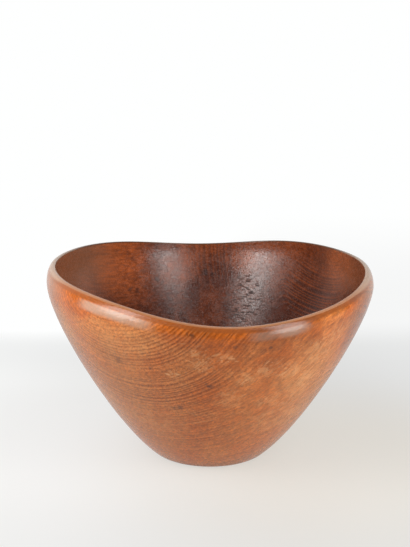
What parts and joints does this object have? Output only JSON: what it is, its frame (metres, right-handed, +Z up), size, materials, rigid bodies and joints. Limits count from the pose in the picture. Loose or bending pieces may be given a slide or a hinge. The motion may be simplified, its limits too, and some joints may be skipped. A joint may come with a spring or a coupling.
{
  "type": "wooden salad bowl",
  "caption": "Deep round salad bowl turned from solid teak, flaring from a flat base to a rolled shoulder and a thin, flat, gently waved lip.",
  "frame": {"origin": "centre of the flat base, on the surface that the bowl stands on", "axes": "+Z up along the bowl's axis; -Y towards the front, where the rim dips; +X to the right"},
  "size_m": [0.2999, 0.2959, 0.1802],
  "materials": {
    "oiled_teak": "oiled, satin, worn"
  },
  "bodies": {
    "root": {"bowl_body": "oiled_teak"}
  },
  "joints": []
}
